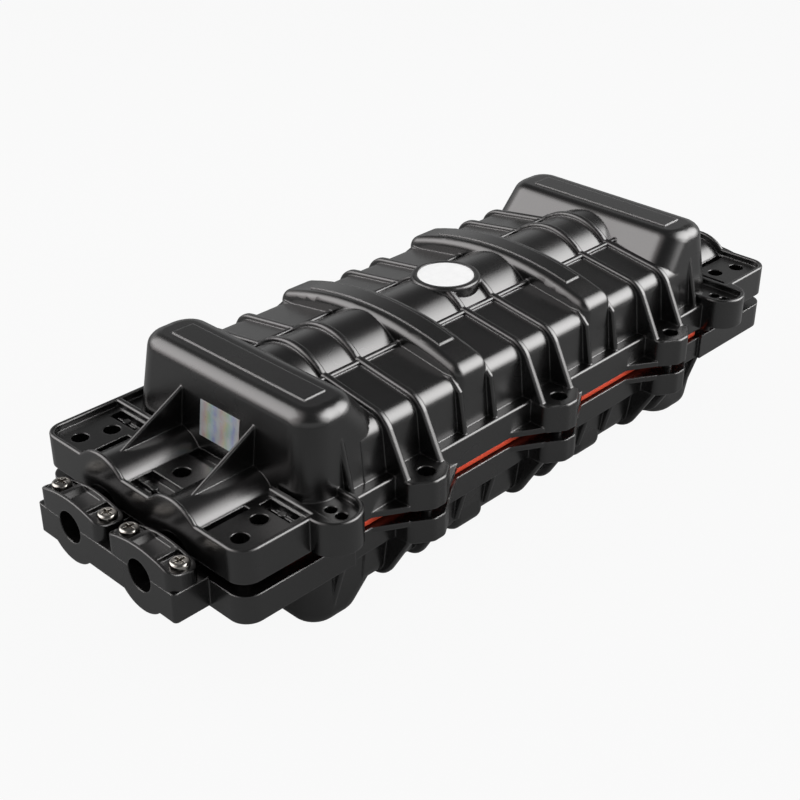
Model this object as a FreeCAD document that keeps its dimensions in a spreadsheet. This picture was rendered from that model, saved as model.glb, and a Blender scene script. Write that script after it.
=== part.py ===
import FreeCAD, Part
import os
import re
import Sketcher

os.makedirs("parts", exist_ok=True)
doc = FreeCAD.newDocument("splice_box")
V = FreeCAD.Vector

# Driving dimensions in millimetres, feet on z = 0, length along x
DIMS = {
    # Levels
    "seam_mid": 56.0,
    "cover_gap": 4.1,
    "base_gap": 1.6,
    "porch_gap": 6.6,
    "cover_ledge": 75.6,
    "base_ledge": 71.2,
    "cover_top": 120.0,
    "base_top": 111.3,
    "panel_rise": 0.7,
    # Main body section
    "wall": 3.2,
    "foot_y": 68.0,
    "edge_y": 64.6,
    "edge_drop": 17.4,
    "base_edge_drop": 14.0,
    "edge_round": 9.0,
    "crest_drop": 11.2,
    "crest_y": 24.8,
    "body_x": 128.0,
    "barrel_drop": 1.9,
    "barrel_rad": 32.0,
    "top_round": 1.2,
    # End ridges
    "ridge_in_low": 112.0,
    "ridge_in_foot": 120.5,
    "ridge_in_top": 126.5,
    "ridge_low": 18.0,
    "ridge_out_top": 157.6,
    "base_out_top": 159.6,
    "ridge_out_foot": 163.0,
    "ridge_y": 67.0,
    "ridge_y_top": 62.5,
    "ridge_corner": 14.0,
    "ridge_round": 8.0,
    "panel_in": 133.6,
    "panel_out": 146.8,
    "panel_y": 48.2,
    # Middle ridges
    "mid_x": 50.4,
    "mid_half": 11.4,
    "mid_y": 66.0,
    "mid_drop": 0.6,
    "mid_arc": 193.0,
    "mid_corner": 8.0,
    "mid_round": 4.5,
    "mid_panel_half": 5.3,
    "mid_panel_y": 47.0,
    # Ribs and fins
    "rib_wide": 4.2,
    "rib_proud": 2.4,
    "rib_one": 111.6,
    "rib_two": 88.4,
    "rib_three": 11.5,
    "rib_foot_y": 82.6,
    "rib_knee": 14.0,
    "rib_round": 1.5,
    "rail_wide": 3.2,
    "rail_proud": 1.7,
    "rail_round": 1.2,
    "fin_wide": 3.2,
    "fin_foot_y": 72.8,
    "fin_drop": 22.0,
    "fin_crest": 6.0,
    "fin_knee_y": 67.8,
    "fin_round": 1.4,
    "end_fin_x": 139.0,
    "end_fin_drop": 12.5,
    "end_fin_y": 63.2,
    "base_fin_x": 146.0,
    "base_fin_drop": 9.0,
    "gusset_wide": 2.2,
    "gusset_round": 1.0,
    "gusset_low_x": 199.8,
    "gusset_high": 104.6,
    # Flange, lugs and end porch
    "ledge_y": 73.7,
    "ledge_x": 143.0,
    "lug_mid": 100.0,
    "lug_half": 14.0,
    "lug_nose": 3.6,
    "lug_bend_y": 83.4,
    "lug_end_y": 90.2,
    "lug_round": 5.0,
    "web_half": 30.0,
    "web_y": 83.0,
    "web_tall": 3.0,
    "ear_x": 156.4,
    "ear_rad": 14.0,
    "ear_y": 76.2,
    "ear_hole": 3.1,
    "ear_hole_x": 155.2,
    "ear_hole_y": 73.2,
    "ear_hole_gap": 7.0,
    "ear_hole_low": 68.0,
    "porch_x": 210.2,
    "porch_y": 75.6,
    "porch_round": 10.0,
    "rim_wide": 2.8,
    "rim_tall": 4.9,
    "rim_round": 1.2,
    "tray_corner": 7.2,
    "floor_tall": 1.3,
    "cross_wall_x": 167.0,
    "cross_wall_y": 44.0,
    # Bolts through the cover
    "bolt_y": 80.7,
    "bolt_hole": 4.4,
    "bolt_head": 4.2,
    "bolt_head_tall": 5.0,
    "bolt_key": 2.0,
    "bolt_shank": 2.5,
    "bolt_seat": 63.0,
    "bolt_end": 39.2,
    "nut_tall": 8.0,
    "nut_rad": 4.0,
    "thread_gap": 0.4,
    "inner_hole_x": 182.7,
    "inner_hole_y": 55.6,
    "hang_hole": 4.35,
    "hang_x": 198.1,
    "hang_y": 60.5,
    # Pockets in the porch floor
    "pocket_deep": 4.6,
    "pocket_long": 15.0,
    "pocket_half": 11.3,
    "pocket_small": 7.4,
    "groove_long": 26.0,
    "groove_in": 15.6,
    "groove_out": 19.4,
    "post_rad": 2.0,
    "post_rib": 1.0,
    # Cable ports
    "port_y": 26.8,
    "port_rad": 13.0,
    "port_step": 10.5,
    "bump_rad": 23.4,
    "bump_low": 64.0,
    "channel_rad": 19.6,
    "grommet_long": 12.0,
    "grommet_back": 10.0,
    "fit_gap": 0.3,
    "cable_rad": 8.4,
    # Seal between the halves
    "seal_x": 176.0,
    "seal_y": 72.2,
    "seal_wide": 5.5,
    "seal_jog_x": 140.0,
    "seal_end_y": 64.0,
    "seal_room": 0.5,
    "seal_round": 2.6,
    "porch_lip": 0.2,
    # Cable clamps
    "clamp_front": 230.0,
    "clamp_mid": 220.5,
    "clamp_base_right": 51.6,
    "clamp_base_left": 53.4,
    "clamp_base_low": 42.0,
    "clamp_base_round": 2.0,
    "clamp_rise": 1.6,
    "saddle_rad": 19.3,
    "cap_half": 24.6,
    "cap_back": 213.5,
    "cap_peak": 71.8,
    "cap_low_peak": 69.3,
    "cap_arc": 66.0,
    "cap_corner": 5.5,
    "cap_edge": 0.6,
    "cap_skin": 1.8,
    "cap_rim": 1.0,
    "cap_dip_corner": 4.0,
    "cap_seat": 66.0,
    "cap_floor": 66.5,
    "cap_well": 5.4,
    "cap_bridge": 11.0,
    "cap_bar": 2.4,
    "cap_bar_top": 68.6,
    "cap_screw_half": 18.4,
    "cap_screw": 2.5,
    "cap_head": 4.9,
    "cap_head_tall": 3.0,
    "cap_head_round": 1.6,
    "cap_slot_wide": 1.5,
    "cap_slot_half": 3.0,
    "cap_slot_deep": 1.9,
    "cap_screw_end": 46.0,
    # Badge and label
    "boss_rad": 18.8,
    "boss_rise": -1.2,
    "boss_round": 1.4,
    "badge_rad": 15.3,
    "badge_tall": 1.4,
    "badge_sink": 0.3,
    "label_long": 28.7,
    "label_tall": 18.8,
    "label_thick": 0.3,
    "label_low": 84.0,
    "label_right": -17.2,
    # Inside: frame, trays and clamps
    "cavity_x": 154.0,
    "stand_x": 119.0,
    "stand_y": 34.0,
    "stand_rad": 5.0,
    "stand_top": 42.0,
    "frame_thick": 1.6,
    "frame_x": 126.0,
    "frame_y": 46.0,
    "small_screw": 1.6,
    "small_head": 3.0,
    "small_head_tall": 2.2,
    "tray_x": 108.0,
    "tray_y": 50.0,
    "tray_tall": 11.0,
    "tray_skin": 1.6,
    "tray_round": 14.0,
    "tray_inner_round": 12.4,
    "tray_hub": 17.0,
    "tray_hub_x": 72.0,
    "lid_thick": 1.4,
    "comb_x": 22.0,
    "comb_half": 3.0,
    "comb_y": 18.0,
    "comb_tall": 6.0,
    "sleeve_rad": 1.4,
    "sleeve_half": 30.0,
    "sleeve_step": 5.2,
    "grip_x": 140.0,
    "grip_top": 40.0,
    "grip_half": 6.0,
    "grip_tall": 5.0,
    "member_rad": 1.2,
    "strap_half": 8.0,
    "strap_thick": 0.8,
}
sheet = doc.addObject("Spreadsheet::Sheet", "Dims")
for row, (word, value) in enumerate(DIMS.items(), start=1):
    sheet.set(f"A{row}", word)
    sheet.set(f"B{row}", str(value))
    sheet.setAlias(f"B{row}", word)
doc.recompute()

WORDS = re.compile(r"[a-z_]+")
ALONG = {"x": V(1, 0, 0), "y": V(0, 1, 0), "z": V(0, 0, 1)}
TURN = {
    "x": FreeCAD.Rotation(0.5, 0.5, 0.5, 0.5),
    "y": FreeCAD.Rotation(V(1, 0, 0), 90),
    "z": FreeCAD.Rotation(),
}


# Small builders, every size given as a sum of the dimension words above
def from_sheet(found):
    word = found.group(0)
    return "Dims." + word if word in DIMS else word


def bind(obj, prop, text):
    obj.setExpression(prop, WORDS.sub(from_sheet, text))


def place(obj, x, y, z):
    for axis, text in zip("xyz", (x, y, z)):
        bind(obj, "Placement.Base." + axis, text)
    return obj


def box(x0, x1, y0, y1, z0, z1):
    obj = doc.addObject("Part::Box", "Block")
    bind(obj, "Length", f"({x1}) - ({x0})")
    bind(obj, "Width", f"({y1}) - ({y0})")
    bind(obj, "Height", f"({z1}) - ({z0})")
    return place(obj, x0, y0, z0)


def rod(axis, radius, start, end, a, b):
    """A cylinder along an axis; a and b are its place on the other two axes, in order."""
    obj = doc.addObject("Part::Cylinder", "Rod")
    bind(obj, "Radius", radius)
    bind(obj, "Height", f"({end}) - ({start})")
    where = {"x": (start, a, b), "y": (a, start, b), "z": (a, b, start)}[axis]
    obj.Placement = FreeCAD.Placement(V(), FreeCAD.Rotation(V(0, 0, 1), ALONG[axis]))
    return place(obj, *where)


def prism(axis, points, start, end):
    """A flat outline pulled along an axis; its points are given on the other two axes, in order."""
    outline = doc.addObject("Sketcher::SketchObject", "Outline")
    count = len(points)
    corners = [V(50, 0, 0)]
    for _ in range(count - 1):
        corners.append(FreeCAD.Rotation(V(0, 0, 1), 360 / count).multVec(corners[-1]))
    for i in range(count):
        outline.addGeometry(Part.LineSegment(corners[i], corners[(i + 1) % count]))
    for i in range(count):
        outline.addConstraint(Sketcher.Constraint("Coincident", i, 2, (i + 1) % count, 1))
    for i, (u, v) in enumerate(points):
        for kind, text, now in (("DistanceX", u, corners[i].x), ("DistanceY", v, corners[i].y)):
            index = outline.addConstraint(Sketcher.Constraint(kind, -1, 1, i, 1, now))
            bind(outline, f"Constraints[{index}]", text)
    outline.Placement = FreeCAD.Placement(V(), TURN[axis])
    bind(outline, "Placement.Base." + axis, start)
    solid = doc.addObject("Part::Extrusion", "Prism")
    solid.Base = outline
    solid.DirMode = "Custom"
    solid.Dir = ALONG[axis]
    solid.Solid = True
    bind(solid, "LengthFwd", f"({end}) - ({start})")
    return solid


def fuse(*shapes):
    obj = doc.addObject("Part::MultiFuse", "Joined")
    obj.Shapes = list(shapes)
    obj.Refine = True
    return obj


def cut(base, *tools):
    obj = doc.addObject("Part::Cut", "Trimmed")
    obj.Base = base
    obj.Tool = tools[0] if len(tools) == 1 else fuse(*tools)
    obj.Refine = True
    return obj


def common(a, b):
    obj = doc.addObject("Part::MultiCommon", "Shared")
    obj.Shapes = [a, b]
    return obj


def mirror(base, axis, at=None):
    obj = doc.addObject("Part::Mirroring", "Mirrored")
    obj.Source = base
    obj.Normal = ALONG[axis]
    if at:
        bind(obj, "Base." + axis, at)
    return obj


def both(axis, *shapes):
    joined = fuse(*shapes) if len(shapes) > 1 else shapes[0]
    return fuse(joined, mirror(joined, axis))


def four(*shapes):
    return both("x", both("y", *shapes))


def rounded(base, radius, wanted):
    doc.recompute()
    obj = doc.addObject("Part::Fillet", "Rounded")
    obj.Base = base
    size = DIMS[radius]
    obj.Edges = [(i, size, size) for i, edge in enumerate(base.Shape.Edges, start=1) if wanted(edge)]
    return obj


def upright(edge):
    reach = edge.BoundBox
    return reach.ZLength > reach.XLength + reach.YLength and edge.Curve.TypeId == "Part::GeomLine"


def leaning(edge):
    return edge.BoundBox.ZLength > 4 and edge.BoundBox.XLength > 1


def middle(edge):
    return edge.valueAt((edge.FirstParameter + edge.LastParameter) / 2)


def level(edge, height):
    return edge.BoundBox.ZLength < 0.01 and abs(edge.BoundBox.ZMin - height) < 0.01


def ring_edge(edge):
    return edge.Closed


parts = {}


def part(name, shape):
    shape.Label = name
    parts[name] = shape


COVER_SEAM = "(seam_mid + cover_gap)"
BASE_SEAM = "(seam_mid + base_gap)"
LIP_SEAM = "(seam_mid + porch_lip)"
CLAMP_SEAM = "(seam_mid + clamp_rise)"
PORT_STEP = "(seal_x - grommet_back)"
LEAN = "(ridge_out_foot - ridge_out_top) / (cover_top - cover_ledge)"
SCREW_SIDES = ("port_y - cap_screw_half", "port_y + cap_screw_half")
BOLT_PLACES = (
    ("0", "bolt_y"),
    ("lug_mid", "bolt_y"),
    ("inner_hole_x", "inner_hole_y"),
)


# One half of the shell, built with its outer side up
def end_ridge(top, out_top, ledge, seam):
    low = f"({top} - ridge_low)"
    more = f"(({ledge}) - ({seam})) / ({top} - {ledge})"
    seam_y = f"(ridge_y + (ridge_y - ridge_y_top) * {more})"
    seam_x = f"(ridge_out_foot + (ridge_out_foot - {out_top}) * {more})"
    sides = prism("x", [
        (f"-{seam_y}", seam),
        (seam_y, seam),
        ("ridge_y_top", top),
        ("-ridge_y_top", top),
    ], "0", "porch_x")
    profile = prism("y", [
        ("ridge_in_foot", seam),
        (seam_x, seam),
        (out_top, top),
        ("ridge_in_top", top),
        ("ridge_in_low", low),
        ("ridge_in_foot", low),
    ], "-porch_y", "porch_y")
    crown = rounded(common(sides, profile), "ridge_corner", leaning)
    crown = rounded(crown, "ridge_round", lambda e: level(e, DIMS[top]))
    panel = box("panel_in", "panel_out", "-panel_y", "panel_y", f"{top} - 1", f"{top} + panel_rise")
    return fuse(crown, panel)


def mid_ridge(top, seam):
    arch_mid = f"{top} - mid_drop - mid_arc"
    bar = box("mid_x - mid_half", "mid_x + mid_half", "-mid_y", "mid_y", seam, f"{top} + 5")
    arched = common(bar, rod("x", "mid_arc", "0", "mid_x + 30", "0", arch_mid))
    shouldered = rounded(arched, "mid_corner", lambda e: (
        abs(abs(middle(e).y) - DIMS["mid_y"]) < 0.01 and middle(e).z > DIMS[top] - 20
        and e.BoundBox.XLength > 10))
    crowned = rounded(shouldered, "mid_round", lambda e: (
        e.BoundBox.XLength < 0.01 and middle(e).z > DIMS["bolt_seat"]))
    tile = box("mid_x - mid_panel_half", "mid_x + mid_panel_half", "-mid_panel_y", "mid_panel_y",
               f"{top} - 12", f"{top} + 5")
    crown = rod("x", "mid_arc + panel_rise", "0", "mid_x + 30", "0", arch_mid)
    return fuse(crowned, common(tile, crown))


def cross_rib(x, top, edge_drop, seam):
    shoulder = f"{top} - {edge_drop} + rib_proud"
    crest = f"{top} - crest_drop + rib_proud"
    web = prism("x", [
        ("-rib_foot_y", seam),
        ("rib_foot_y", seam),
        ("rib_foot_y", "base_ledge"),
        ("edge_y + 1", shoulder),
        ("crest_y", crest),
        ("-crest_y", crest),
        ("-edge_y - 1", shoulder),
        ("-rib_foot_y", "base_ledge"),
    ], f"{x} - rib_wide / 2", f"{x} + rib_wide / 2")
    knee = DIMS[top] - DIMS[edge_drop] + DIMS["rib_proud"]
    web = rounded(web, "rib_knee", lambda e: e.BoundBox.XLength > 1 and abs(middle(e).z - knee) < 0.01)
    web = rounded(web, "rib_round", lambda e: e.BoundBox.XLength < 0.01 and middle(e).z > DIMS["bolt_seat"])
    arch = rod("x", "barrel_rad + rib_proud", f"{x} - rib_wide / 2", f"{x} + rib_wide / 2",
               "0", f"{top} - barrel_drop - barrel_rad")
    return fuse(web, rounded(arch, "rib_round", ring_edge))


def side_fin(x, seam, upper):
    fin = prism("x", [
        ("edge_y - 5", seam),
        ("fin_foot_y", seam),
        ("fin_foot_y", "base_ledge"),
        *upper,
    ], f"{x} - fin_wide / 2", f"{x} + fin_wide / 2")
    return rounded(fin, "fin_round", lambda e: (
        e.BoundBox.XLength < 0.01 and middle(e).y > DIMS["edge_y"] - 3))


def side_lug(x, ledge, seam):
    nose = prism("z", [
        (f"{x} - lug_half", "foot_y"),
        (f"{x} + lug_half", "foot_y"),
        (f"{x} + lug_half", "lug_bend_y"),
        (f"{x} + lug_nose", "lug_end_y"),
        (f"{x} - lug_nose", "lug_end_y"),
        (f"{x} - lug_half", "lug_bend_y"),
    ], seam, ledge)
    nose = rounded(nose, "lug_round", lambda e: upright(e) and middle(e).y > DIMS["foot_y"] + 1)
    nose = rounded(nose, "top_round", lambda e: level(e, DIMS[ledge]) and middle(e).y > DIMS["foot_y"] + 1)
    web = prism("z", [
        (f"{x} - web_half", "foot_y"),
        (f"{x} + web_half", "foot_y"),
        (f"{x} + web_half", "ledge_y"),
        (f"{x} + lug_half", "web_y"),
        (f"{x} - lug_half", "web_y"),
        (f"{x} - web_half", "ledge_y"),
    ], seam, f"{seam} + web_tall")
    return fuse(nose, web)


def bolt_holes():
    tools = []
    for x, y in BOLT_PLACES:
        tools.append(rod("z", "bolt_hole", "bolt_seat", "cover_top", x, y))
        tools.append(rod("z", "bolt_shank + thread_gap", "seam_mid", "bolt_seat", x, y))
    tools.append(rod("z", "hang_hole", "seam_mid", "cover_top", "hang_x", "hang_y"))
    tools.append(rod("z", "bolt_hole", "bolt_seat", "cover_ledge + 8", "inner_hole_x", "0"))
    tools.append(rod("z", "bolt_shank + thread_gap", "seam_mid", "bolt_seat", "inner_hole_x", "0"))
    return four(*tools)


def hollow(top, edge_drop):
    section = prism("x", [
        ("wall - foot_y", "seam_mid"),
        ("foot_y - wall", "seam_mid"),
        ("foot_y - wall - 1", "base_ledge"),
        ("edge_y - wall - 1", f"{top} - {edge_drop} - wall - 2"),
        ("crest_y", f"{top} - crest_drop - wall"),
        ("-crest_y", f"{top} - crest_drop - wall"),
        ("wall + 1 - edge_y", f"{top} - {edge_drop} - wall - 2"),
        ("wall + 1 - foot_y", "base_ledge"),
    ], "-body_x", "body_x")
    barrel = rod("x", "barrel_rad - wall", "-ridge_in_low", "ridge_in_low",
                 "0", f"{top} - barrel_drop - barrel_rad")
    ends = box("ridge_in_foot", "cavity_x", "9 - ridge_y", "ridge_y - 9", "seam_mid",
               f"{top} - ridge_low - wall")
    crown = box("panel_in", "cavity_x - 3", "13 - ridge_y", "ridge_y - 13", "seam_mid",
                f"{top} - wall - 2")
    bars = box("mid_x - mid_half + wall", "mid_x + mid_half - wall", "10 - mid_y", "mid_y - 10",
               "seam_mid", f"{top} - mid_corner - wall - 2")
    ports = both("y", rod("x", "port_rad", PORT_STEP, "porch_x + 2", "port_y", "seam_mid"),
                 rod("x", "port_step", "cavity_x - 10", "porch_x", "port_y", "seam_mid"))
    return fuse(section, barrel, both("x", ends, crown, bars, ports))


def outer_half(top, out_top, edge_drop, ledge, high, seam, porch_low, fin_x, fin_drop):
    body = prism("x", [
        ("-foot_y", seam),
        ("foot_y", seam),
        ("foot_y", "base_ledge"),
        ("edge_y", f"{top} - {edge_drop}"),
        ("crest_y", f"{top} - crest_drop"),
        ("-crest_y", f"{top} - crest_drop"),
        ("-edge_y", f"{top} - {edge_drop}"),
        ("-foot_y", "base_ledge"),
    ], "-body_x", "body_x")
    shoulder = DIMS[top] - DIMS[edge_drop]
    body = rounded(body, "edge_round", lambda e: (
        e.BoundBox.XLength > 100 and abs(middle(e).z - shoulder) < 0.01))
    barrel = rod("x", "barrel_rad", "-body_x", "body_x", "0", f"{top} - barrel_drop - barrel_rad")
    crest = f"{top} - crest_drop + rail_proud"
    rail = box("-body_x", "body_x", "crest_y - rail_wide / 2", "crest_y + rail_wide / 2", seam, crest)
    rails = both("y", rounded(rail, "rail_round", lambda e: (
        e.BoundBox.XLength > 100 and middle(e).z > DIMS["cover_ledge"])))
    ledge_bar = box("-ledge_x", "ledge_x", "-ledge_y", "ledge_y", seam, ledge)
    ledge_bar = rounded(ledge_bar, "top_round", lambda e: (
        e.BoundBox.XLength > 100 and level(e, DIMS[ledge])))
    lugs = both("y", side_lug("0", ledge, seam))
    porch = box("ear_x - ear_rad", "porch_x", "-porch_y", "porch_y", porch_low, high)
    porch = rounded(porch, "porch_round", lambda e: upright(e) and middle(e).x > DIMS["ear_x"] + 1)
    ribs = [cross_rib(x, top, edge_drop, seam) for x in ("rib_one", "rib_two", "rib_three")]
    bar_sides = ("mid_x - mid_half", "mid_x + mid_half")
    fin_crest = f"{top} - fin_drop + fin_crest"
    bent = [("fin_knee_y", f"{top} - fin_drop"), ("edge_y - 3", fin_crest), ("edge_y - 12", fin_crest)]
    straight = [("end_fin_y", f"{top} - {fin_drop}"), ("edge_y - 5", f"{top} - {fin_drop}")]
    fins = [side_fin(x, seam, bent) for x in bar_sides]
    fins.append(side_fin(fin_x, seam, straight))
    sides = both("y", side_lug("lug_mid", ledge, seam), *fins)
    middle_bars = both("x", sides, mid_ridge(top, seam), *ribs)
    ridge = end_ridge(top, out_top, ledge, seam)
    return fuse(body, barrel, rails, ledge_bar, lugs, middle_bars), porch, ridge


# Cover half: porch tray, ears, port bumps, gussets and badge boss
RIM = "(cover_ledge + rim_tall)"
FLOOR = "(cover_ledge + floor_tall)"
ear = fuse(
    box("ear_x - ear_rad", "ear_x + ear_rad", "-ear_y", "-foot_y", COVER_SEAM, RIM),
    rod("z", "ear_rad", COVER_SEAM, RIM, "ear_x", "-ear_y"),
)
EAR_INNER = ("ear_x - ear_rad + rim_wide", "cross_wall_x - rim_wide")
ear_cut = fuse(
    box(*EAR_INNER, "rim_wide - porch_y", "porch_y - rim_wide", FLOOR, f"{RIM} + 1"),
    box(*EAR_INNER, "-ear_y", "-foot_y", FLOOR, f"{RIM} + 1"),
    common(
        rod("z", "ear_rad - rim_wide", FLOOR, f"{RIM} + 1", "ear_x", "-ear_y"),
        box(*EAR_INNER, "-lug_end_y", "-ear_y", FLOOR, f"{RIM} + 1"),
    ),
)
ear_holes = fuse(
    rod("z", "ear_hole", "ear_hole_low", RIM, "ear_hole_x", "-ear_hole_y"),
    rod("z", "ear_hole", "ear_hole_low", RIM, "ear_hole_x", "-ear_hole_y - ear_hole_gap"),
)
well = box("cross_wall_x", "porch_x - rim_wide", "rim_wide - porch_y", "porch_y - rim_wide",
           FLOOR, f"{RIM} + 1")
tray_cut = fuse(
    rounded(well, "tray_corner", lambda e: upright(e) and middle(e).x > DIMS["hang_x"]),
    box("ridge_out_top", "cross_wall_x + 1", "-cross_wall_y", "cross_wall_y", FLOOR, f"{RIM} + 1"),
)
PORCH_LOW = "(seam_mid + porch_gap)"
skirt_cut = fuse(
    box("seal_x + 1", "porch_x + 1", "-lug_end_y - 5", "lug_end_y + 5", "seam_mid", PORCH_LOW),
    both("y", box("ledge_x", "porch_x", "seal_end_y + seal_room", "lug_end_y + 5", "seam_mid", PORCH_LOW)),
)
POCKET_LOW = f"{FLOOR} - pocket_deep"
POCKET_END = "(porch_x - rim_wide - 1)"
POCKET_START = "(cross_wall_x + 1)"
POST_LOW = f"{POCKET_LOW} - 1"
POST_HIGH = f"{FLOOR} - 1"
pocket_cut = fuse(
    box(f"{POCKET_END} - pocket_long", POCKET_END, "-pocket_half", "pocket_half", POCKET_LOW, RIM),
    box("ridge_out_foot", "ridge_out_foot + pocket_small", "-pocket_half", "pocket_half", POCKET_LOW, RIM),
    both("y", box(POCKET_START, f"{POCKET_START} + pocket_small", "port_y + 20", "porch_y - 8",
                  POCKET_LOW, RIM),
         box(f"{POCKET_END} - groove_long", POCKET_END, "port_y + groove_in", "port_y + groove_out",
             POCKET_LOW, RIM)),
)


def peg(x, y, reach):
    """A peg with a thin rib to each side of it, across a pocket."""
    return fuse(
        rod("z", "post_rad", POST_LOW, POST_HIGH, x, y),
        box(f"{x} - post_rib / 2", f"{x} + post_rib / 2", f"{y} - {reach}", f"{y} + {reach}", POST_LOW,
            f"{POST_HIGH} - 1"),
    )


posts = fuse(
    peg(f"{POCKET_END} - pocket_long / 2", "0", "pocket_half"),
    both("y", peg(f"{POCKET_START} + pocket_small / 2", "porch_y - 17", "pocket_small")),
)
arched_lip = rod("x", "bump_rad", "porch_x - rim_wide", "porch_x", "port_y", "bump_low")
bumps = both("y", rounded(arched_lip, "rim_round", ring_edge),
             rod("x", "channel_rad", "ridge_in_top", "porch_x - 1", "port_y", "bump_low"))
below = box("-porch_x - 5", "porch_x + 5", "-lug_end_y - 5", "lug_end_y + 5", "0", COVER_SEAM)
gusset = prism("y", [
    ("ridge_out_top - 2", COVER_SEAM),
    ("gusset_low_x", COVER_SEAM),
    ("gusset_low_x", "bump_low + channel_rad - 1"),
    ("ridge_out_top + 1", "gusset_high"),
    ("ridge_out_top - 2", "gusset_high"),
], "port_y - gusset_wide / 2", "port_y + gusset_wide / 2")
gusset = rounded(gusset, "gusset_round", lambda e: (
    e.BoundBox.YLength < 0.01 and e.BoundBox.XLength > 10 and e.BoundBox.ZLength > 5))
BADGE_LOW = "(cover_top + boss_rise - badge_tall - badge_sink)"
collar = rod("z", "boss_rad", "cover_top - 20", "cover_top + boss_rise", "0", "0")
boss = cut(
    rounded(collar, "boss_round", lambda e: e.Closed and middle(e).z > DIMS["cover_top"] - 10),
    rod("z", "badge_rad + fit_gap", BADGE_LOW, "cover_top + 5", "0", "0"),
)
boss_room = rod("z", "boss_rad", "cover_top - barrel_drop - wall", "cover_top + 9", "0", "0")
middle_part, porch, ridge = outer_half("cover_top", "ridge_out_top", "edge_drop", "cover_ledge", RIM,
                                       COVER_SEAM, COVER_SEAM, "end_fin_x", "end_fin_drop")
tray = cut(fuse(porch, ear), tray_cut, ear_cut)
rim_level = DIMS["cover_ledge"] + DIMS["rim_tall"]
rim_from_x = DIMS["cross_wall_x"] - 1
rim_from_y = DIMS["porch_y"] - DIMS["rim_wide"] + 0.1
tray = rounded(tray, "rim_round", lambda e: (
    level(e, rim_level) and (middle(e).x > rim_from_x or abs(middle(e).y) > rim_from_y)))
end_part = cut(fuse(tray, ridge, bumps, both("y", gusset)), pocket_cut, ear_holes, skirt_cut)
ends = both("x", fuse(end_part, posts))
solid = fuse(cut(middle_part, boss_room), boss, ends)
part("upper_shell", cut(solid, hollow("cover_top", "edge_drop"), bolt_holes(), below))

# Base half: the same outside turned over, stands and clamp saddles
LOW_SEAM = "(seam_mid - base_gap)"


def seal_outline(inset, low, high):
    """The seal's plan: wide along the body, narrower at the ends."""
    slabs = []
    for x, y in (("seal_jog_x", "seal_y"), ("seal_x", "seal_end_y")):
        slabs.append(box(f"({inset}) - {x}", f"{x} - ({inset})", f"({inset}) - {y}", f"{y} - ({inset})",
                         low, high))
    return fuse(*slabs)


def saddle_pair():
    block = box("porch_x - 2", "clamp_front", "-clamp_base_right", "clamp_base_left",
                "clamp_base_low", CLAMP_SEAM)
    block = rounded(block, "clamp_base_round", lambda e: upright(e) and middle(e).x > DIMS["clamp_mid"])
    lobes = both("y", rod("x", "saddle_rad", "porch_x - 2", "clamp_front", "port_y", "seam_mid"))
    above = box("0", "clamp_front + 1", "-porch_y", "porch_y", CLAMP_SEAM, "cover_top")
    behind = box("0", "porch_x", "-porch_y", "porch_y", LOW_SEAM, "cover_top")
    holes = [
        rod("x", "cable_rad", "porch_x - 3", "clamp_front + 1", "port_y", "seam_mid"),
        rod("x", "port_rad", "0", "porch_x", "port_y", "seam_mid"),
    ]
    for y in SCREW_SIDES:
        holes.append(rod("z", "cap_screw + thread_gap", "cap_screw_end - 1", "cover_top", "clamp_mid", y))
    return cut(fuse(block, lobes), above, behind, both("y", *holes))


channels = both("y", rod("x", "channel_rad", "ridge_in_top", "porch_x", "port_y", "seam_mid"))
middle_part, porch, ridge = outer_half("base_top", "base_out_top", "base_edge_drop", "base_ledge",
                                       "base_ledge", BASE_SEAM, LIP_SEAM, "base_fin_x", "base_fin_drop")
solid = fuse(middle_part, both("x", porch, ridge, channels))
below = fuse(
    box("-porch_x - 5", "porch_x + 5", "-lug_end_y - 5", "lug_end_y + 5", "0", LIP_SEAM),
    box("-ledge_x", "ledge_x", "-lug_end_y - 5", "lug_end_y + 5", "0", BASE_SEAM),
    seal_outline("-seal_room", "0", BASE_SEAM),
)
shell = cut(solid, hollow("base_top", "base_edge_drop"), bolt_holes(), below)
stand = cut(
    rod("z", "stand_rad", "wall + crest_drop", "stand_top", "stand_x", "stand_y"),
    rod("z", "small_screw + thread_gap", "stand_top - 12", "stand_top + 1", "stand_x", "stand_y"),
)
GRIP_PLAN = ("grip_x - grip_half", "grip_x + grip_half", "port_y - grip_half", "port_y + grip_half")
seat = cut(
    box(*GRIP_PLAN, "wall", "grip_top"),
    rod("z", "small_screw + thread_gap", "grip_top - 12", "grip_top + 1", "grip_x", "port_y"),
)
part("lower_shell", fuse(mirror(shell, "z", "seam_mid"), both("x", saddle_pair()), four(stand, seat)))
bead = rounded(seal_outline("0", LOW_SEAM, COVER_SEAM), "seal_round", lambda e: (
    e.BoundBox.XLength > 100 and abs(middle(e).y) > DIMS["seal_y"] - 0.1))
part("seal_strip", cut(
    bead,
    seal_outline("seal_wide", "0", "cover_top"),
    four(rod("x", "port_rad", "0", "seal_x + 1", "port_y", "seam_mid")),
))
part("port_grommets", four(cut(
    rod("x", "port_rad - fit_gap", PORT_STEP, f"{PORT_STEP} + grommet_long", "port_y", "seam_mid"),
    rod("x", "cable_rad", "0", "porch_x", "port_y", "seam_mid"),
)))


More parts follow.
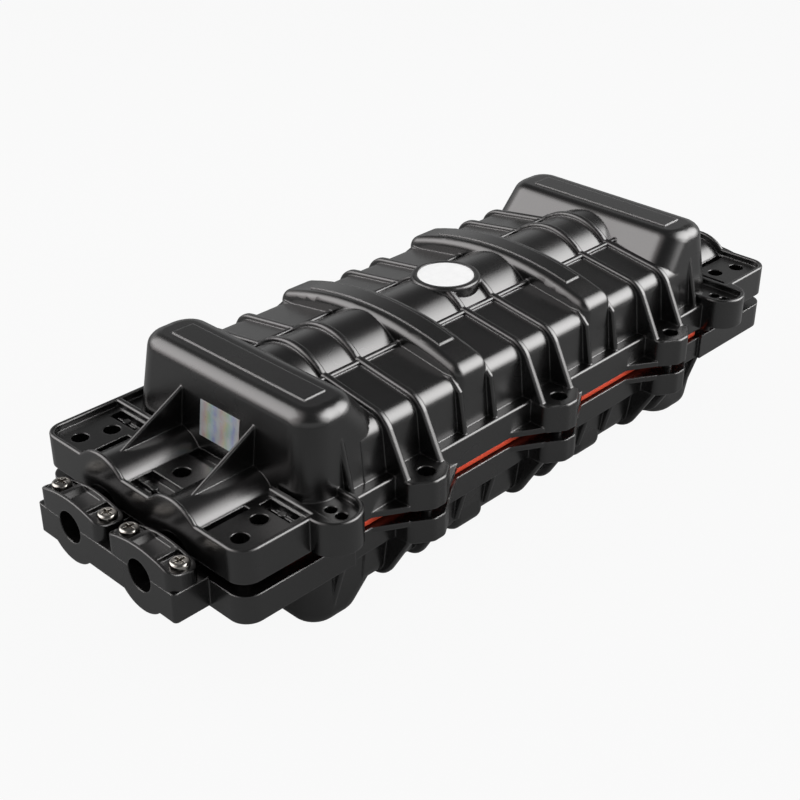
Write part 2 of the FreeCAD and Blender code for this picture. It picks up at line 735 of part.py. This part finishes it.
# Fasteners of the cover
def bolt(x, y):
    blank = fuse(
        rod("z", "bolt_head", "bolt_seat", "bolt_seat + bolt_head_tall", x, y),
        rod("z", "bolt_shank", "bolt_end", "bolt_seat + 1", x, y),
    )
    socket = prism("z", [
        (f"{x} + bolt_key", y),
        (f"{x} + bolt_key * 0.5", f"{y} + bolt_key * 0.866"),
        (f"{x} - bolt_key * 0.5", f"{y} + bolt_key * 0.866"),
        (f"{x} - bolt_key", y),
        (f"{x} - bolt_key * 0.5", f"{y} - bolt_key * 0.866"),
        (f"{x} + bolt_key * 0.5", f"{y} - bolt_key * 0.866"),
    ], "bolt_seat + bolt_head_tall / 2", "bolt_seat + bolt_head_tall + 1")
    return cut(blank, socket)


def nut(x, y):
    top = "2 * seam_mid - bolt_seat"
    return cut(
        rod("z", "nut_rad", f"{top} - nut_tall", top, x, y),
        rod("z", "bolt_shank + thread_gap", "0", "seam_mid", x, y),
    )


def at_bolts(make):
    return fuse(
        both("y", make("0", "bolt_y")),
        four(make("lug_mid", "bolt_y"), make("inner_hole_x", "inner_hole_y")),
        both("x", make("inner_hole_x", "0")),
    )


part("cover_bolts", at_bolts(bolt))
part("cover_nuts", at_bolts(nut))

# Cable clamps, one cap and one pair of screws at each port
CAP_SIDES = ("port_y - cap_half", "port_y + cap_half")
blank = box("cap_back", "clamp_front", *CAP_SIDES, CLAMP_SEAM, "cap_peak + 5")
blank = rounded(blank, "cap_corner", upright)
CAP_SLOPE = "((cap_peak - cap_low_peak) / (clamp_front - cap_back))"
CAP_AXIS = f"cap_low_peak - cap_arc / cos(atan({CAP_SLOPE})) - (cap_back - porch_x) * {CAP_SLOPE}"
arch = rod("x", "cap_arc", "porch_x", "clamp_front + cap_arc", "port_y", CAP_AXIS)
bind(arch, "Placement.Rotation.Angle", f"90 deg - atan({CAP_SLOPE})")
arched = rounded(common(blank, arch), "cap_edge", lambda e: (
    middle(e).z > DIMS["cap_low_peak"] - 6 and not upright(e)))
bar = prism("x", [
    ("port_y + cap_well", CLAMP_SEAM),
    ("port_y + cap_bridge", CLAMP_SEAM),
    ("port_y + cap_bridge", "cap_bar_top"),
    ("port_y + cap_bridge - cap_bar", "cap_bar_top"),
    ("port_y + cap_well", "cap_floor"),
], "porch_x", "clamp_front")
bridge = fuse(
    box("porch_x", "clamp_front", "port_y - cap_bridge", "port_y + cap_bridge", CLAMP_SEAM, "cap_floor"),
    bar,
    mirror(bar, "y", "port_y"),
)
dip = box("cap_back + cap_skin", "clamp_front - cap_skin", "port_y - cap_half + cap_rim",
          "port_y + cap_half - cap_rim", "cap_seat", "cap_peak + 3")
trough = cut(rounded(dip, "cap_dip_corner", upright), bridge)
drills = []
for y in SCREW_SIDES:
    drills.append(rod("z", "cap_screw + thread_gap", "seam_mid - 1", "cap_peak", "clamp_mid", y))
cable = rod("x", "cable_rad", "porch_x", "clamp_front + 1", "port_y", "seam_mid")
cap = cut(arched, trough, cable, *drills)


def cap_screw(y):
    head = rod("z", "cap_head", "cap_seat", "cap_seat + cap_head_tall", "clamp_mid", y)
    domed = rounded(head, "cap_head_round", lambda e: e.BoundBox.ZMin > DIMS["cap_seat"] + 1 and e.Closed)
    shank = rod("z", "cap_screw", "cap_screw_end", "cap_seat + 1", "clamp_mid", y)
    slot_low = "cap_seat + cap_head_tall - cap_slot_deep"
    slot_high = "cap_seat + cap_head_tall + 1"
    cross = fuse(
        box("clamp_mid - cap_slot_half", "clamp_mid + cap_slot_half", f"{y} - cap_slot_wide / 2",
            f"{y} + cap_slot_wide / 2", slot_low, slot_high),
        box("clamp_mid - cap_slot_wide / 2", "clamp_mid + cap_slot_wide / 2", f"{y} - cap_slot_half",
            f"{y} + cap_slot_half", slot_low, slot_high),
    )
    return cut(fuse(domed, shank), cross)


screws = fuse(*[cap_screw(y) for y in SCREW_SIDES])
for name, piece in (("clamp_cap", cap), ("clamp_screws", screws)):
    across = mirror(piece, "y")
    part(f"{name}_far_left", piece)
    part(f"{name}_far_right", across)
    part(f"{name}_near_left", mirror(piece, "x"))
    part(f"{name}_near_right", mirror(across, "x"))

# Badge and label on the cover
part("badge_disc", rod("z", "badge_rad", BADGE_LOW, f"{BADGE_LOW} + badge_tall", "0", "0"))
label = doc.addObject("Part::Box", "Label")
bind(label, "Length", "label_thick")
bind(label, "Width", "label_long")
bind(label, "Height", "label_tall")
label.Placement = FreeCAD.Placement(V(), FreeCAD.Rotation(V(0, 1, 0), 1))
bind(label, "Placement.Rotation.Angle", f"atan({LEAN})")
wall_x = f"ridge_out_foot - (label_low - cover_ledge) * {LEAN}"
place(label, f"-({wall_x}) - label_thick * cos(atan({LEAN}))", "label_right",
      f"label_low + label_thick * sin(atan({LEAN}))")
part("end_label", label)

# Inside: frame on stands, three splice trays, lid, strap and strength member grips
TRAY_LOW = "(stand_top + frame_thick)"
plate = box("-frame_x", "frame_x", "-frame_y", "frame_y", "stand_top", TRAY_LOW)
part("tray_frame", cut(plate, four(
    rod("z", "small_screw + thread_gap", "stand_top - 1", "stand_top + 9", "stand_x", "stand_y"),
)))


def small_screw(x, y, seat_level):
    return fuse(
        rod("z", "small_head", seat_level, f"{seat_level} + small_head_tall", x, y),
        rod("z", "small_screw", f"{seat_level} - 10", f"{seat_level} + 1", x, y),
    )


part("frame_screws", four(small_screw("stand_x", "stand_y", TRAY_LOW)))


def tray_block(skin, low, high, radius):
    block = box(f"{skin} - tray_x", f"tray_x - {skin}", f"{skin} - tray_y", f"tray_y - {skin}", low, high)
    return rounded(block, radius, upright)


combs = []
sleeves = []
for storey in range(3):
    low = f"({TRAY_LOW} + {storey} * tray_tall)"
    floor = f"({low} + tray_skin)"
    dish = cut(tray_block("0", low, f"{low} + tray_tall", "tray_round"),
               tray_block("tray_skin", floor, f"{low} + tray_tall + 1", "tray_inner_round"))
    hub = cut(rod("z", "tray_hub", low, f"{floor} + comb_tall", "tray_hub_x", "0"),
              rod("z", "tray_hub - tray_skin", floor, f"{floor} + comb_tall + 1", "tray_hub_x", "0"))
    part(f"splice_tray_{storey + 1}", fuse(dish, both("x", hub)))
    comb_top = f"({floor} + comb_tall)"
    comb = box("comb_x - comb_half", "comb_x + comb_half", "-comb_y", "comb_y", floor, comb_top)
    slots = []
    for step in (0.5, 1.5, 2.5):
        y = f"({step} * sleeve_step)"
        slots.append(box("comb_x - comb_half - 1", "comb_x + comb_half + 1",
                         f"{y} - sleeve_rad - fit_gap", f"{y} + sleeve_rad + fit_gap",
                         f"{floor} + comb_tall / 2", f"{comb_top} + 1"))
        sleeves.append(rod("x", "sleeve_rad", "-sleeve_half", "sleeve_half", y,
                           f"{floor} + comb_tall / 2 + sleeve_rad"))
    combs.append(cut(comb, both("y", *slots)))
part("splice_combs", both("x", *combs))
part("splice_sleeves", both("y", *sleeves))
LID_LOW = f"({TRAY_LOW} + 3 * tray_tall)"
part("tray_lid", tray_block("0", LID_LOW, f"{LID_LOW} + lid_thick", "tray_round"))
part("tray_strap", cut(
    box("-strap_half", "strap_half", "-tray_y - strap_thick", "tray_y + strap_thick",
        "stand_top - strap_thick", f"{LID_LOW} + lid_thick + strap_thick"),
    box("-strap_half - 1", "strap_half + 1", "-tray_y", "tray_y", "stand_top", f"{LID_LOW} + lid_thick"),
))
grip = cut(
    box(*GRIP_PLAN, "grip_top", "grip_top + grip_tall"),
    rod("z", "small_screw + thread_gap", "grip_top - 1", "seam_mid", "grip_x", "port_y"),
    rod("x", "member_rad", "0", "porch_x", "port_y + grip_half - member_rad - 1", "grip_top"),
)
part("strength_grips", four(grip))
part("strength_screws", four(small_screw("grip_x", "port_y", "(grip_top + grip_tall)")))

# Check every object, then write one file for each part
doc.recompute()
for obj in doc.Objects:
    if "Invalid" in obj.State or "Error" in obj.State:
        raise RuntimeError(f"{obj.Name} did not build: {obj.State}")
for name, obj in parts.items():
    shape = obj.Shape
    if shape.isNull() or not shape.isValid():
        raise RuntimeError(f"{name} has no sound shape")
    size = shape.BoundBox
    print(f"{name}: {len(shape.Solids)} solid(s), {shape.Volume / 1000:.2f} cm3, "
          f"{size.XLength:.1f} x {size.YLength:.1f} x {size.ZLength:.1f} mm, from z {size.ZMin:.2f}")
    shape.exportStep(f"parts/{name}.step")
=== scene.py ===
# %% [markdown]
# # A fibre splice box, dressed for its portrait
# The box itself comes from a CAD model: two ribbed half shells, a seal, clamps, screws and the trays inside.
# Blender's job is what CAD leaves out: finish, light and a camera. The CAD nodes are loaded once and never
# moved, so every size in the picture is a real size in metres.

import math

import bpy
from mathutils import Matrix, Vector

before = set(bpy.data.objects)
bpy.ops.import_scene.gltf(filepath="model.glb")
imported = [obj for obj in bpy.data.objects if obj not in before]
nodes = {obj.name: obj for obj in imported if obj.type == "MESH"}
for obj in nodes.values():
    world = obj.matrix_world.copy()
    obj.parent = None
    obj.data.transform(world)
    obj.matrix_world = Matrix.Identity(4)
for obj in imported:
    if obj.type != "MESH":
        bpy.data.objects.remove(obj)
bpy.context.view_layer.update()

# %% [markdown]
# ## The camera
# A product picture is taken from one corner, a little above, with a lens long enough to keep the far end from
# shrinking. A camera could be aimed with a constraint, but three axis vectors in a matrix say the same in one
# place, and they can be read off: `RIGHT` runs across the picture, `UP` runs up it, `BACK` points at the viewer.

# %% Stand the camera at the near corner
RIGHT = Vector((0.6974, -0.7167, 0.0))
UP = Vector((0.3583, 0.3486, 0.8661))
BACK = Vector((-0.6207, -0.6040, 0.4999))
EYE = Vector((-0.513, -0.465, 0.440))
LENS_MM = 63.64
FILM_MM = 36.0
NEAREST = 0.02
FARTHEST = 40.0

lens = bpy.data.cameras.new("corner_lens")
lens.lens = LENS_MM
lens.sensor_width = FILM_MM
lens.clip_start = NEAREST
lens.clip_end = FARTHEST
camera = bpy.data.objects.new("corner_camera", lens)
camera.matrix_world = Matrix.Translation(EYE) @ Matrix((RIGHT, UP, BACK)).transposed().to_4x4()
bpy.context.scene.collection.objects.link(camera)
bpy.context.scene.camera = camera
print("camera at", tuple(EYE), "lens", LENS_MM, "mm")

# %% [markdown]
# ## One small language for shaders
# Node graphs are easy to wire by mouse and tiresome to wire in code. A thin class around a socket lets plain
# arithmetic build the Math nodes, and one `node` method makes every other kind: first its settings, then the
# values or links of its sockets.


# %% A socket that does arithmetic
class Wire:
    """An output socket. Adding to it, taking away or multiplying adds a Math node to its graph."""

    def __init__(self, graph, socket):
        self.graph = graph
        self.socket = socket

    def _math(self, operation, first, second):
        return self.graph.node("ShaderNodeMath", {"operation": operation}, {0: first, 1: second})

    def __add__(self, other):
        return self._math("ADD", self, other)

    def __radd__(self, other):
        return self._math("ADD", other, self)

    def __sub__(self, other):
        return self._math("SUBTRACT", self, other)

    def __rsub__(self, other):
        return self._math("SUBTRACT", other, self)

    def __mul__(self, other):
        return self._math("MULTIPLY", self, other)

    def __rmul__(self, other):
        return self._math("MULTIPLY", other, self)


print("a wire takes + - and *")


# %% A graph that makes its nodes
class Graph:
    """The nodes of a material, or of the world."""

    def __init__(self, name, store=bpy.data.materials, output="ShaderNodeOutputMaterial"):
        self.block = store.new(name)
        self.block.use_nodes = True
        self.output = output
        self.tree = self.block.node_tree
        self.tree.nodes.clear()

    def node(self, kind, settings=None, sockets=None, out=0):
        made = self.tree.nodes.new(kind)
        for key, value in (settings or {}).items():
            if key == "stops":
                set_stops(made.color_ramp, value)
            else:
                setattr(made, key, value)
        for key, value in (sockets or {}).items():
            if isinstance(value, Wire):
                self.tree.links.new(value.socket, made.inputs[key])
            else:
                made.inputs[key].default_value = value
        return Wire(self, made.outputs[out]) if len(made.outputs) else None

    def place(self):
        return self.node("ShaderNodeTexCoord", out="Object")

    def ray(self, kind):
        """1 for rays of this kind, 0 for all others."""
        return self.node("ShaderNodeLightPath", out=f"Is {kind} Ray")

    def dot(self, first, second):
        return self.node("ShaderNodeVectorMath", {"operation": "DOT_PRODUCT"}, {
            0: first, 1: second}, out="Value")

    def between(self, value, low, high):
        """Stretch the part of a value from low to high over 0 to 1, and clip the rest."""
        return self.node("ShaderNodeMapRange", {"clamp": True}, {
            "Value": value, "From Min": low, "From Max": high, "To Min": 0.0, "To Max": 1.0})

    def blend(self, share, first, second):
        """A shader between two shaders."""
        return self.node("ShaderNodeMixShader", None, {0: share, 1: first, 2: second})

    def end(self, shader):
        self.node(self.output, None, {"Surface": shader})


def set_stops(ramp, stops):
    while len(ramp.elements) < len(stops):
        ramp.elements.new(0.5)
    for element, (position, colour) in zip(ramp.elements, stops):
        element.position = position
        element.color = (*colour, 1.0)


def grey(value):
    return (value, value, value, 1.0)


print("a graph makes nodes for a material or the world")

# %% [markdown]
# ## Floor, sky and lamps
# Black plastic shows what it mirrors more than what it is. The camera sees white under and behind the box. In
# reflections the floor is a matte grey that gets darker away from the box, and the sky dims overhead, so that
# flat faces stay dark. Two wide soft boxes in that mirrored sky, one to the left and one to the right, draw the
# bright bands along ribs and shoulders. Large panels could be built as meshes, but two bright patches in the sky
# do the same and cast no shadow. The white is mixed in by the kind of ray, so the lamps stay at a plain level.

# %% Lay the floor
FLOOR_HALF = 20.0
SEEN_GLOW = 0.93
MIRRORED_GLOW = 0.05
NEAR_GREY = 0.30
FAR_GREY = 0.10
NEAR_TO = 0.5
FAR_FROM = 1.6

floor_mesh = bpy.data.meshes.new("floor")
floor_mesh.from_pydata(
    [(-FLOOR_HALF, -FLOOR_HALF, 0), (FLOOR_HALF, -FLOOR_HALF, 0),
     (FLOOR_HALF, FLOOR_HALF, 0), (-FLOOR_HALF, FLOOR_HALF, 0)], [], [(0, 1, 2, 3)])
floor = bpy.data.objects.new("floor", floor_mesh)
bpy.context.scene.collection.objects.link(floor)

pale = Graph("pale_floor")
away = pale.node("ShaderNodeVectorMath", {"operation": "LENGTH"}, {0: pale.place()}, out="Value")
near_matte = pale.node("ShaderNodeBsdfDiffuse", None, {"Color": grey(NEAR_GREY)})
far_matte = pale.node("ShaderNodeBsdfDiffuse", None, {"Color": grey(FAR_GREY)})
matte = pale.blend(pale.between(away, NEAR_TO, FAR_FROM), near_matte, far_matte)
glow = pale.node("ShaderNodeEmission", None, {"Color": grey(1.0), "Strength": 1.0})
mirrored = pale.ray("Glossy") + pale.ray("Transmission")
share = pale.ray("Camera") * SEEN_GLOW + mirrored * MIRRORED_GLOW
pale.end(pale.blend(share, matte, glow))
floor_mesh.materials.append(pale.block)
print("floor", 2 * FLOOR_HALF, "m square")

# %% Make the sky with its soft boxes
SKY_LIGHT = 0.55
SKY_LOW = 0.54
SKY_TOP = 0.13
SKY_DIMS = (0.26, 0.52)
# Side, way to the middle, colour, strength, and the degrees from the middle where it is full and where it ends.
SOFT_BOXES = (
    ("left", (-0.66, 0.60, 0.45), (1.0, 0.94, 0.93, 1.0), 2.1, 6.0, 52.0),
    ("right", (0.62, -0.60, 0.50), (1.0, 0.98, 0.97, 1.0), 5.4, 6.0, 40.0),
)

sky = Graph("soft_sky", bpy.data.worlds, "ShaderNodeOutputWorld")


def background(colour, strength=1.0):
    return sky.node("ShaderNodeBackground", None, {"Color": colour, "Strength": strength})


direction = sky.node("ShaderNodeTexCoord", out="Generated")
height = sky.node("ShaderNodeSeparateXYZ", None, {0: direction}, out="Z")
shown = sky.blend(sky.between(height, *SKY_DIMS), background(grey(SKY_LOW)), background(grey(SKY_TOP)))
for side, way, colour, strength, full, ends in SOFT_BOXES:
    near = sky.dot(direction, Vector(way).normalized())
    patch = sky.between(near, math.cos(math.radians(ends)), math.cos(math.radians(full)))
    shown = sky.blend(patch, shown, background(colour, strength))
    print("soft box", side, strength)
mirrored = sky.ray("Glossy") + sky.ray("Transmission")
unseen = sky.blend(mirrored, background(grey(SKY_LIGHT)), shown)
sky.end(sky.blend(sky.ray("Camera"), unseen, background(grey(1.0))))
bpy.context.scene.world = sky.block
print("sky", SKY_LIGHT, "as light,", SKY_TOP, "overhead in reflections")

# %% Hang the soft lamps
# Name, place, width and height in metres, and power in watts.
LAMPS = (
    ("key_over_left", (-0.85, 1.05, 1.05), (1.6, 1.4), 13.0),
    ("fill_right", (1.05, -0.82, 1.0), (1.6, 1.4), 18.0),
)
AIM = Vector((0.0, 0.0, 0.07))
for name, spot, size, power in LAMPS:
    lamp = bpy.data.lights.new(name, "AREA")
    lamp.shape = "RECTANGLE"
    lamp.size, lamp.size_y = size
    lamp.energy = power
    holder = bpy.data.objects.new(name, lamp)
    holder.location = spot
    holder.rotation_euler = (AIM - Vector(spot)).to_track_quat("-Z", "Y").to_euler()
    bpy.context.scene.collection.objects.link(holder)
    print(name, power, "W")

# %% [markdown]
# ## What every finish needs
# No real surface is one flat colour with knife edges. Each finish here has soft patches in its tone or gloss and
# a fine grain or rings, and all but the thin foil have edges that a Bevel node rounds for the light alone. Edges
# could be rounded in the mesh, but that would add many faces and move the surface away from the CAD model.


# %% A finish for the pieces of the box
class Finish(Graph):
    """A material that ends in a Principled shader."""

    EDGE_SAMPLES = 6
    EDGE_LEAN_RANGE = (0.02, 0.25)
    COLOUR_A, COLOUR_B, COLOUR_OUT = 6, 7, 2

    def mix(self, share, first, second):
        """A colour between two colours."""
        return self.node("ShaderNodeMix", {"data_type": "RGBA"}, {
            "Factor": share, self.COLOUR_A: first, self.COLOUR_B: second}, out=self.COLOUR_OUT)

    def noise(self, scale, detail=2.0, roughness=0.5):
        return self.node("ShaderNodeTexNoise", None, {
            "Vector": self.place(), "Scale": scale, "Detail": detail, "Roughness": roughness})

    def patches(self, scale, detail, roughness, low, high):
        """Soft patches from 0 to 1, made of the part of a noise from low to high."""
        return self.between(self.noise(scale, detail, roughness), low, high)

    def soft_edges(self, radius):
        return self.node("ShaderNodeBevel", {"samples": self.EDGE_SAMPLES}, {"Radius": radius})

    def wear_and_highlight_edges(self, rounded):
        """1 on an outer or inner edge, 0 on a flat: how far the rounded normal leans from the true one."""
        true = self.node("ShaderNodeNewGeometry", out="True Normal")
        return self.between(1.0 - self.dot(rounded, true), *self.EDGE_LEAN_RANGE)

    def bump(self, height, strength, distance, edges=None):
        sockets = {"Height": height, "Strength": strength, "Distance": distance}
        if edges:
            sockets["Normal"] = edges
        return self.node("ShaderNodeBump", None, sockets)

    def surface(self, **sockets):
        """End the graph in a Principled shader. Socket names are written with _ for a space."""
        named = {key.replace("_", " "): value for key, value in sockets.items()}
        self.end(self.node("ShaderNodeBsdfPrincipled", None, named))
        return self

    def on(self, *names):
        for name in names:
            slots = nodes[name].data.materials
            slots.clear()
            slots.append(self.block)
        print(self.block.name, "on", ", ".join(names))


print("a finish has patches, grain and soft edges")

# %% [markdown]
# ## Moulded black plastic
# The shells and the clamp caps are injection moulded: satin black, with a faint spark-eroded grain from the
# mould and edges that are never quite sharp. Wide patches vary tone and gloss, and a fine noise makes the grain.
# Along every outer and inner edge the colour is painted paler, a painted highlight that also stands for a little
# wear, and the gloss there is smoother, like a thin coat. These edge places could be painted by hand, but the
# lean of the rounded normal finds every edge by itself.

# %% Black shell plastic
SHELL_DARK = (0.0016, 0.0015, 0.0015, 1.0)
SHELL_PALE = (0.0026, 0.0024, 0.0024, 1.0)
# The paler grey painted along the edges: a painted highlight, and a little wear.
SHELL_EDGE_WEAR_AND_HIGHLIGHT = grey(0.012)
SHELL_EDGE_WEAR_AND_HIGHLIGHT_SHARE = 0.4
SHELL_EDGE = 0.0012
SHELL_GRAIN = 2600.0

black = Finish("moulded_black")
round_edge = black.soft_edges(SHELL_EDGE)
# This edge mask paints the base colour paler along every outer and inner edge, a painted highlight that also
# stands for wear; it also smooths and coats the gloss there.
wear_and_edge_highlight = black.wear_and_highlight_edges(round_edge)
cloudy = black.patches(scale=22.0, detail=3.0, roughness=0.6, low=0.35, high=0.68)
grain = black.noise(SHELL_GRAIN, detail=1.0)
black.surface(
    Base_Color=black.mix(
        wear_and_edge_highlight * SHELL_EDGE_WEAR_AND_HIGHLIGHT_SHARE, black.mix(cloudy, SHELL_DARK, SHELL_PALE), SHELL_EDGE_WEAR_AND_HIGHLIGHT),
    Roughness=0.24 + 0.04 * cloudy - 0.10 * wear_and_edge_highlight,
    Specular_IOR_Level=1.0,
    Coat_Weight=0.9 * wear_and_edge_highlight,
    Coat_Roughness=0.1,
    Normal=black.bump(grain, strength=0.05, distance=0.00012, edges=round_edge),
)
CAPS = sorted(name for name in nodes if name.startswith("clamp_cap"))
black.on("upper_shell", "lower_shell", *CAPS)

# %% [markdown]
# ## Rubber seal and grommets
# A strip of soft orange rubber is squeezed between the halves, and black grommets of the same kind sit in the
# cable ports. Rubber is matte with a dusty bloom, so its roughness is high and a fine noise scatters what is
# left of the gloss. The two differ only in tint and numbers, so one function makes both.


# %% Seal and grommet rubber
def rubber(name, clean, dusty, bloom_scale, bloom_low, rough, bloom_rough, grain_scale, edge):
    made = Finish(name)
    bloom = made.patches(bloom_scale, detail=4.0, roughness=0.7, low=bloom_low, high=0.7)
    return made.surface(
        Base_Color=made.mix(bloom, clean, dusty),
        Roughness=rough + bloom_rough * bloom,
        Normal=made.bump(made.noise(grain_scale), strength=0.1, distance=0.0001, edges=made.soft_edges(edge)),
    )


rubber("orange_rubber", (0.86, 0.070, 0.022, 1.0), (0.94, 0.10, 0.035, 1.0), bloom_scale=160.0, bloom_low=0.3,
       rough=0.46, bloom_rough=0.14, grain_scale=1800.0, edge=0.0012).on("seal_strip")
rubber("black_rubber", grey(0.014), grey(0.024), bloom_scale=120.0, bloom_low=0.35,
       rough=0.6, bloom_rough=0.15, grain_scale=1500.0, edge=0.0008).on("port_grommets")

# %% [markdown]
# ## Screws, bolts and nuts
# The clamp screws are nickel plated and bright. The cover bolts sit deep in their lugs and are blackened, and
# their nuts are brass. Metal needs few colours and good roughness, so one function lays fine rings, as from
# turning, and scuffs that dull the metal here and there.


# %% Bright, blackened and yellow metal
METAL_EDGE = 0.00035
SCUFFED_SHARE = 0.72


def metal(name, colour, rough, ring_scale):
    made = Finish(name)
    rounded = made.soft_edges(METAL_EDGE)
    rings = made.node("ShaderNodeTexWave", {"wave_type": "RINGS", "rings_direction": "Z"}, {
        "Vector": made.place(), "Scale": ring_scale, "Distortion": 2.0, "Detail": 2.0}, out="Fac")
    scuff = made.patches(scale=420.0, detail=4.0, roughness=0.65, low=0.4, high=0.7)
    dull = tuple(channel * SCUFFED_SHARE for channel in colour)
    return made.surface(
        Base_Color=made.mix(scuff, (*colour, 1.0), (*dull, 1.0)),
        Metallic=1.0,
        Roughness=rough + 0.08 * scuff + 0.04 * rings,
        Normal=made.bump(rings, strength=0.05, distance=0.00005, edges=rounded),
    )


CLAMP_SCREWS = sorted(name for name in nodes if name.startswith("clamp_screws"))
metal("nickel_plate", (0.38, 0.365, 0.34), rough=0.11, ring_scale=700.0).on(
    *CLAMP_SCREWS, "frame_screws", "strength_screws")
metal("blackened_steel", (0.10, 0.10, 0.10), rough=0.36, ring_scale=500.0).on("cover_bolts")
metal("plain_brass", (0.72, 0.50, 0.21), rough=0.30, ring_scale=500.0).on("cover_nuts")

# %% [markdown]
# ## Badge and label
# The round badge is a bare white disc in its collar, and the label is a plain foil that shimmers in upright
# bands of cool and warm tints. On the real foil the bands move with the viewer. Here they are laid along the
# foil and bent by a noise, because a finish that changed with the viewer would be lost in the exported model.

# %% White badge
BADGE_GRAIN = 900.0
BADGE_EDGE = 0.0004

badge = Finish("white_disc")
fleck = badge.patches(scale=300.0, detail=3.0, roughness=0.5, low=0.3, high=0.7)
badge.surface(
    Base_Color=badge.mix(fleck, grey(0.91), grey(0.95)),
    Roughness=0.32 + 0.06 * fleck,
    Coat_Weight=0.2,
    Normal=badge.bump(
        badge.noise(BADGE_GRAIN), strength=0.03, distance=0.0001, edges=badge.soft_edges(BADGE_EDGE)),
)
badge.on("badge_disc")

# %% Shimmering foil
FOIL_BANDS = 75.0
FOIL_BEND = 0.35
FOIL_BEND_SCALE = 90.0
FOIL_SMEAR = 600.0
FOIL_GRAIN = 1400.0
FOIL_SILVER = (0.66, 0.68, 0.70, 1.0)
FOIL_TINTS = (
    (0.00, (0.60, 0.63, 0.64)),
    (0.20, (0.40, 0.44, 0.74)),
    (0.36, (0.46, 0.66, 0.72)),
    (0.52, (0.48, 0.66, 0.46)),
    (0.68, (0.70, 0.62, 0.42)),
    (0.84, (0.68, 0.48, 0.48)),
    (1.00, (0.60, 0.63, 0.64)),
)

foil = Finish("shimmer_foil")
along = foil.node("ShaderNodeSeparateXYZ", None, {0: foil.place()}, out="Y")
bent = along * FOIL_BANDS + FOIL_BEND * foil.noise(FOIL_BEND_SCALE)
turn = foil.node("ShaderNodeMath", {"operation": "FRACT"}, {0: bent})
tint = foil.node("ShaderNodeValToRGB", {"stops": FOIL_TINTS}, {"Fac": turn})
silver = foil.patches(scale=240.0, detail=3.0, roughness=0.7, low=0.35, high=0.75)
foil.surface(
    Base_Color=foil.mix(silver, tint, FOIL_SILVER),
    Metallic=0.4,
    Roughness=0.24 + 0.12 * foil.noise(FOIL_SMEAR),
    Normal=foil.bump(foil.noise(FOIL_GRAIN), strength=0.08, distance=0.00008),
)
foil.on("end_label")

# %% [markdown]
# ## Inside the box
# With the cover lifted the trays show: off-white plastic dishes, blue combs, clear sleeves and lid, a woven
# strap and sheet metal. The plastics and the strap come from one helper, since only tint, gloss and grain
# differ. The frame and the grips take the metal of the screws with a paler tint and wider rings.


# %% Finishes for the pieces inside
MOULDED_EDGE = 0.0005
PATCH_SHARE = 0.9


def moulded(name, colour, rough, grain_scale, grain_deep, **extra):
    made = Finish(name)
    patch = made.patches(scale=45.0, detail=3.0, roughness=0.6, low=0.3, high=0.7)
    darker = tuple(channel * PATCH_SHARE for channel in colour)
    grain = made.noise(grain_scale, detail=3.0)
    return made.surface(
        Base_Color=made.mix(patch, (*colour, 1.0), (*darker, 1.0)),
        Roughness=rough + 0.08 * patch,
        Normal=made.bump(grain, grain_deep, distance=0.00015, edges=made.soft_edges(MOULDED_EDGE)),
        **extra,
    )


TRAYS = ("splice_tray_1", "splice_tray_2", "splice_tray_3")
moulded("tray_plastic", (0.74, 0.74, 0.70), rough=0.42, grain_scale=1900.0, grain_deep=0.06).on(*TRAYS)
moulded("comb_plastic", (0.05, 0.13, 0.34), rough=0.4, grain_scale=1900.0, grain_deep=0.06).on("splice_combs")
moulded("clear_sleeve", (0.82, 0.85, 0.86), rough=0.12, grain_scale=900.0, grain_deep=0.02,
        Alpha=0.75).on("splice_sleeves")
moulded("clear_lid", (0.70, 0.75, 0.77), rough=0.1, grain_scale=700.0, grain_deep=0.02,
        Alpha=0.35).on("tray_lid")
moulded("woven_strap", (0.03, 0.03, 0.034), rough=0.85, grain_scale=1100.0, grain_deep=0.5).on("tray_strap")
metal("sheet_metal", (0.66, 0.66, 0.66), rough=0.32, ring_scale=90.0).on("tray_frame", "strength_grips")

# %% [markdown]
# ## The view transform
# The picture is set to the plain Standard view, so colours come out as they were written.

bpy.context.scene.view_settings.view_transform = "Standard"
